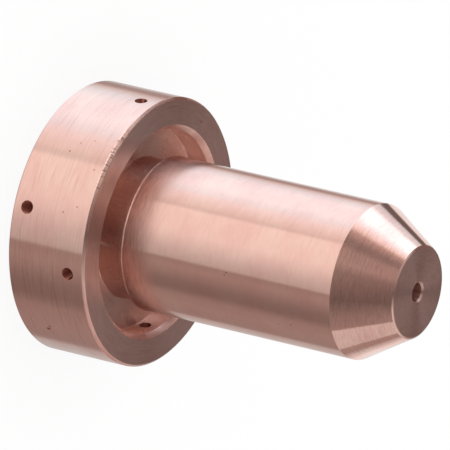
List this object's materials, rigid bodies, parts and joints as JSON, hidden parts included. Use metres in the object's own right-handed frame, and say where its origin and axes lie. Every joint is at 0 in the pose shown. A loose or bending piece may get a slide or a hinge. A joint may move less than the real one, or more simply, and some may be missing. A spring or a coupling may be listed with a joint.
{
  "type": "plasma torch nozzle",
  "caption": "Turned copper plasma torch nozzle: long barrel with a coned nose and a centre orifice, standing on a round flange with a ring-shaped recess and radial gas holes.",
  "frame": {"origin": "centre of the flange's flat back face, on the turning axis", "axes": "+Z along the turning axis, from the back face towards the nose; the angles of the radial holes are counted from +X towards +Y"},
  "size_m": [0.0218, 0.0218, 0.0311],
  "materials": {
    "turned_copper": null
  },
  "bodies": {
    "root": {"nozzle_body": "turned_copper"}
  },
  "joints": []
}
